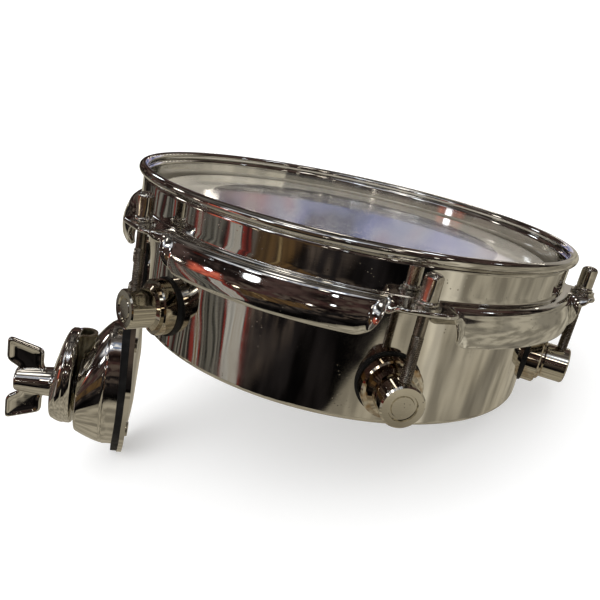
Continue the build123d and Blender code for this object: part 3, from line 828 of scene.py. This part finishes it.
# ---------------------------------------------------------------- surroundings
class Room(Nodes):
    """Colours by direction: side is degrees from the front towards +X, height is degrees above level."""

    def __init__(self, tree):
        super().__init__(tree)
        self.way = self.add("ShaderNodeTexCoord").outputs["Generated"]
        split = self.add("ShaderNodeSeparateXYZ", {0: self.way}).outputs
        front = self.math("MULTIPLY", split[1], -1.0)
        self.side = self.math("DEGREES", self.math("ARCTAN2", split[0], front))
        self.height = self.math("DEGREES", self.math("ARCSINE", split[2]))

    def rise(self, value, low, high, top=1.0):
        """Climbs smoothly from 0 to top."""
        return self.span(value, low, high, 0.0, top, smooth=True)

    def window(self, value, low, high, soft):
        """1 between low and high, fading out over soft degrees on both sides."""
        past = self.rise(value, high, high + soft)
        return self.math("MULTIPLY", self.rise(value, low - soft, low), self.math("SUBTRACT", 1.0, past))

    def patch(self, sides, heights):
        """1 in one stretch of directions; each way is given as low, high and soft."""
        return self.math("MULTIPLY", self.window(self.side, *sides), self.window(self.height, *heights))

    def cloud(self, scale, detail=4.0):
        inputs = {"Vector": self.way, "Scale": scale, "Detail": detail}
        return self.add("ShaderNodeTexNoise", inputs).outputs["Fac"]

    def glow(self, total, mask, colour, strength):
        """Add a coloured light, where the mask lets it through."""
        return self.vector("ADD", total, self.scaled(colour, self.math("MULTIPLY", mask, strength)))

    def ramp(self, value, stops):
        node = self.add("ShaderNodeValToRGB", {0: value})
        band = node.color_ramp
        while len(band.elements) < len(stops):
            band.elements.new(0.5)
        for element, (at, colour) in zip(band.elements, stops):
            element.position = at
            element.color = (*colour, 1)
        return node.outputs[0]


def room_walls(n):
    """Nearly black low down, then maroon, brown and a greyer ceiling, all cluttered."""
    walls = n.ramp(n.rise(n.height, -90.0, 90.0), [
        (0.0, (0.007, 0.006, 0.006)),
        (0.53, (0.007, 0.006, 0.006)),
        (0.64, (0.026, 0.012, 0.011)),
        (0.78, (0.036, 0.023, 0.020)),
        (0.90, (0.055, 0.047, 0.042)),
        (1.0, (0.10, 0.093, 0.086)),
    ])
    clutter = n.rise(n.cloud(5.0), 0.38, 0.66, 2.2)
    walls = n.scaled(walls, n.math("ADD", clutter, 0.3))
    brown = n.math("MULTIPLY", n.rise(n.cloud(12.0), 0.44, 0.66), n.window(n.height, -3.0, 24.0, 7.0))
    return n.mix(brown, walls, (0.11, 0.085, 0.068, 1))


def bench_mask(n):
    """1 below the bench's edge, which stands higher on both sides."""
    right = n.rise(n.side, 20.0, 38.0, 18.0)
    left = n.rise(n.math("MULTIPLY", n.side, -1.0), 60.0, 76.0, 21.0)
    edge = n.math("ADD", n.math("ADD", -23.0, right), left)
    return n.rise(n.math("SUBTRACT", edge, n.height), -0.7, 0.7)


def bench_colour(n):
    """Beige, cloudy, with broad shades on the right."""
    bench = n.mix(n.rise(n.cloud(7.0), 0.36, 0.64), (0.25, 0.225, 0.175, 1), (0.50, 0.455, 0.355, 1))
    shade = n.math("MULTIPLY", n.rise(n.cloud(2.3, 1.0), 0.50, 0.60), n.rise(n.side, 40.0, 60.0, 0.6))
    return n.mix(shade, bench, (0.15, 0.135, 0.11, 1))


def with_streaks(n, total):
    """Upright streaks at the left, brown and gold nearer the front, from things behind the bench."""
    along = n.math("ADD", n.math("MULTIPLY", n.side, 0.06), n.math("MULTIPLY", n.height, 0.010))
    along = n.math("ADD", along, n.math("MULTIPLY", n.cloud(2.6, 2.0), 1.3))
    inputs = {"W": along, "Scale": 1.0, "Detail": 3.0, "Roughness": 0.55}
    bars = n.add("ShaderNodeTexNoise", inputs, noise_dimensions="1D").outputs["Fac"]
    gold = n.ramp(bars, [
        (0.40, (0.015, 0.012, 0.010)),
        (0.50, (0.13, 0.075, 0.03)),
        (0.56, (0.03, 0.02, 0.015)),
        (0.62, (0.62, 0.44, 0.20)),
        (0.68, (0.05, 0.03, 0.02)),
    ])
    streaks = n.ramp(bars, [
        (0.34, (0.012, 0.011, 0.010)),
        (0.41, (0.17, 0.16, 0.135)),
        (0.44, (0.015, 0.014, 0.013)),
        (0.48, (0.26, 0.245, 0.21)),
        (0.52, (0.02, 0.015, 0.014)),
        (0.575, (0.30, 0.045, 0.035)),
        (0.60, (0.03, 0.02, 0.02)),
        (0.63, (0.50, 0.49, 0.45)),
        (0.66, (0.16, 0.10, 0.045)),
    ])
    total = n.mix(n.patch((-58.0, -27.0, 3.0), (2.0, 12.0, 1.5)), total, gold)
    return n.mix(n.patch((-140.0, -64.0, 5.0), (-9.0, 13.0, 2.0)), total, streaks)


def with_patches(n, total, bench):
    """Glare on the bench, daylight high in front, red at the left, sheen and a pale wall behind."""
    mottle = n.rise(n.cloud(16.0), 0.40, 0.62)
    sky = n.mix(mottle, (0.16, 0.22, 0.34, 1), (1.0, 1.0, 1.0, 1))
    ember = n.mix(mottle, (0.40, 0.04, 0.02, 1), (0.85, 0.16, 0.08, 1))
    sheen = n.ramp(n.cloud(9.0, 2.0), [
        (0.36, (0.10, 0.10, 0.11)),
        (0.46, (0.28, 0.36, 0.85)),
        (0.54, (0.75, 0.78, 0.95)),
        (0.62, (0.75, 0.32, 0.36)),
        (0.70, (0.25, 0.20, 0.20)),
    ])
    glare = n.math("MULTIPLY", n.window(n.side, 31.0, 36.0, 4.0), bench)
    total = n.glow(total, glare, (1.0, 0.95, 0.80), 0.30)
    total = n.glow(total, n.patch((-72.0, 28.0, 14.0), (46.0, 54.0, 6.0)), sky, 1.2)
    total = n.glow(total, n.patch((-84.0, -70.0, 6.0), (18.0, 28.0, 5.0)), ember, 0.8)
    total = n.glow(total, n.patch((150.0, 176.0, 6.0), (-2.0, 6.0, 3.0)), sheen, 0.65)
    return n.glow(total, n.patch((120.0, 150.0, 10.0), (-3.0, 12.0, 5.0)), (0.55, 0.52, 0.46), 0.6)


def with_lamp_row(n, total):
    """A row of small lamps on the wall behind."""
    spacing = 4.2
    beat = n.math("SUBTRACT", n.math("FRACT", n.math("DIVIDE", n.side, spacing)), 0.5)
    off_lamp = n.math("MULTIPLY", n.math("ABSOLUTE", beat), spacing)
    spots = n.math("SUBTRACT", 1.0, n.rise(off_lamp, 0.45, 0.8))
    row = n.math("MULTIPLY", n.window(n.height, 8.3, 8.9, 0.3), spots)
    row = n.math("MULTIPLY", row, n.window(n.side, 118.0, 176.0, 1.0))
    return n.glow(total, row, (1.0, 0.93, 0.80), 7.0)


WARM, COOL, PLAIN = (1.0, 0.94, 0.84), (0.85, 0.92, 1.0), (1.0, 0.95, 0.88)
AMBER, HONEY = (1.0, 0.92, 0.80), (1.0, 0.92, 0.78)

# single lamps: side, height, radius and fading width in degrees, then colour and strength
LAMPS = [
    (-48, 38, 2.6, 2.0, (0.90, 0.95, 1.0), 5),
    (-28, 52, 2.4, 2.0, (1.0, 0.96, 0.88), 6),
    (-6, 36, 1.5, 1.5, WARM, 5),
    (14, 50, 2.0, 2.0, (0.80, 0.88, 1.0), 5),
    (38, 40, 1.8, 1.5, (1.0, 0.90, 0.76), 5),
    (66, 46, 2.2, 2.0, PLAIN, 5),
    (100, 42, 2.0, 2.0, COOL, 5),
    (150, 35, 2.0, 2.0, WARM, 6),
    (-165, 32, 2.2, 2.0, COOL, 6),
    (-120, 40, 2.4, 2.0, PLAIN, 6),
    (-95, 22, 1.2, 1.0, AMBER, 6),
    (-75, 30, 1.4, 1.2, COOL, 6),
    (-60, 14, 1.0, 1.0, (1.0, 0.85, 0.62), 4),
    (0, 78, 5.0, 4.0, (1.0, 0.98, 0.95), 2),
    (-22, 14, 0.8, 0.7, WARM, 6),
    (-8, 20, 0.8, 0.7, COOL, 6),
    (8, 12, 0.8, 0.7, HONEY, 6),
    (22, 24, 0.9, 0.8, PLAIN, 6),
    (34, 10, 0.8, 0.7, HONEY, 6),
    (52, 22, 1.0, 0.8, WARM, 6),
    (80, 16, 1.0, 0.8, COOL, 6),
]


def with_lamp(n, total, side, height, radius, soft, colour, strength):
    """A soft round light in one direction."""
    a, b = math.radians(side), math.radians(height)
    to_lamp = Vector((math.sin(a) * math.cos(b), -math.cos(a) * math.cos(b), math.sin(b)))
    outer, inner = math.cos(math.radians(radius + soft)), math.cos(math.radians(radius))
    return n.glow(total, n.rise(n.dot(n.way, to_lamp), outer, inner), colour, strength)


def build_world():
    """White surroundings; mirrors see a dim room with lamps, above a beige bench."""
    world = bpy.data.worlds.new("studio")
    bpy.context.scene.world = world
    world.use_nodes = True
    world.node_tree.nodes.clear()
    n = Room(world.node_tree)
    bench = bench_mask(n)
    total = n.mix(bench, room_walls(n), bench_colour(n))
    total = with_streaks(n, total)
    total = with_patches(n, total, bench)
    total = with_lamp_row(n, total)
    for lamp in LAMPS:
        total = with_lamp(n, total, *lamp)
    mirrored = n.add("ShaderNodeBackground", {0: total, 1: 1.0}).outputs[0]
    plain = n.add("ShaderNodeBackground", {0: (1, 1, 1, 1), 1: PAPER_LIGHT}).outputs[0]
    seen = n.add("ShaderNodeLightPath").outputs["Is Glossy Ray"]
    mixed = n.add("ShaderNodeMixShader", {0: seen, 1: plain, 2: mirrored}).outputs[0]
    n.add("ShaderNodeOutputWorld", {0: mixed})


# ---------------------------------------------------------------- floor, light and camera
def build_floor():
    """Flat pale paper, just under the object; mirrors do not see it."""
    half = FLOOR_HALF
    corners = ((-half, -half), (half, -half), (half, half), (-half, half))
    mesh = bpy.data.meshes.new("floor")
    mesh.from_pydata([(x, y, FLOOR_Z) for x, y in corners], [], [(0, 1, 2, 3)])
    floor = bpy.data.objects.new("floor", mesh)
    bpy.context.scene.collection.objects.link(floor)
    floor.data.materials.append(floor_paper())
    floor.visible_glossy = False


def build_light(name, place, aim, size, power):
    """A square soft light that mirrors do not see."""
    lamp = bpy.data.lights.new(name, "AREA")
    lamp.energy = power
    lamp.size = size
    light = bpy.data.objects.new(name, lamp)
    light.location = place
    light.rotation_mode = "QUATERNION"
    light.rotation_quaternion = (Vector(aim) - Vector(place)).to_track_quat("-Z", "Y")
    light.visible_glossy = False
    bpy.context.scene.collection.objects.link(light)


def build_camera():
    """The camera stands in front and a little above the drum."""
    ahead = (TURN @ Vector(AHEAD)).normalized()
    right = ahead.cross(TURN @ Vector(HEAD_UP)).normalized()
    turn = Matrix((right, right.cross(ahead), -ahead)).transposed().to_4x4()
    lens = bpy.data.cameras.new("camera")
    lens.sensor_width = SENSOR
    lens.lens = LENS
    lens.clip_start = 0.01
    camera = bpy.data.objects.new("camera", lens)
    camera.matrix_world = Matrix.Translation(DRUM @ Vector(EYE)) @ turn
    bpy.context.scene.collection.objects.link(camera)
    bpy.context.scene.camera = camera
    bpy.context.scene.view_settings.view_transform = "Standard"


build_hoop()
build_head()
for rod_number in range(1, LUGS + 1):
    build_rod(rod_number)
build_housing()
build_cap()
build_spring()
build_wing_nut()
build_floor()
build_world()
build_light("overhead_soft", (0.1, -0.1, 1.3), (0, 0, 0), 1.6, 3)
build_light("left_soft", (-1.1, -0.7, 0.7), (0, 0, 0.05), 0.7, 1.5)
build_camera()
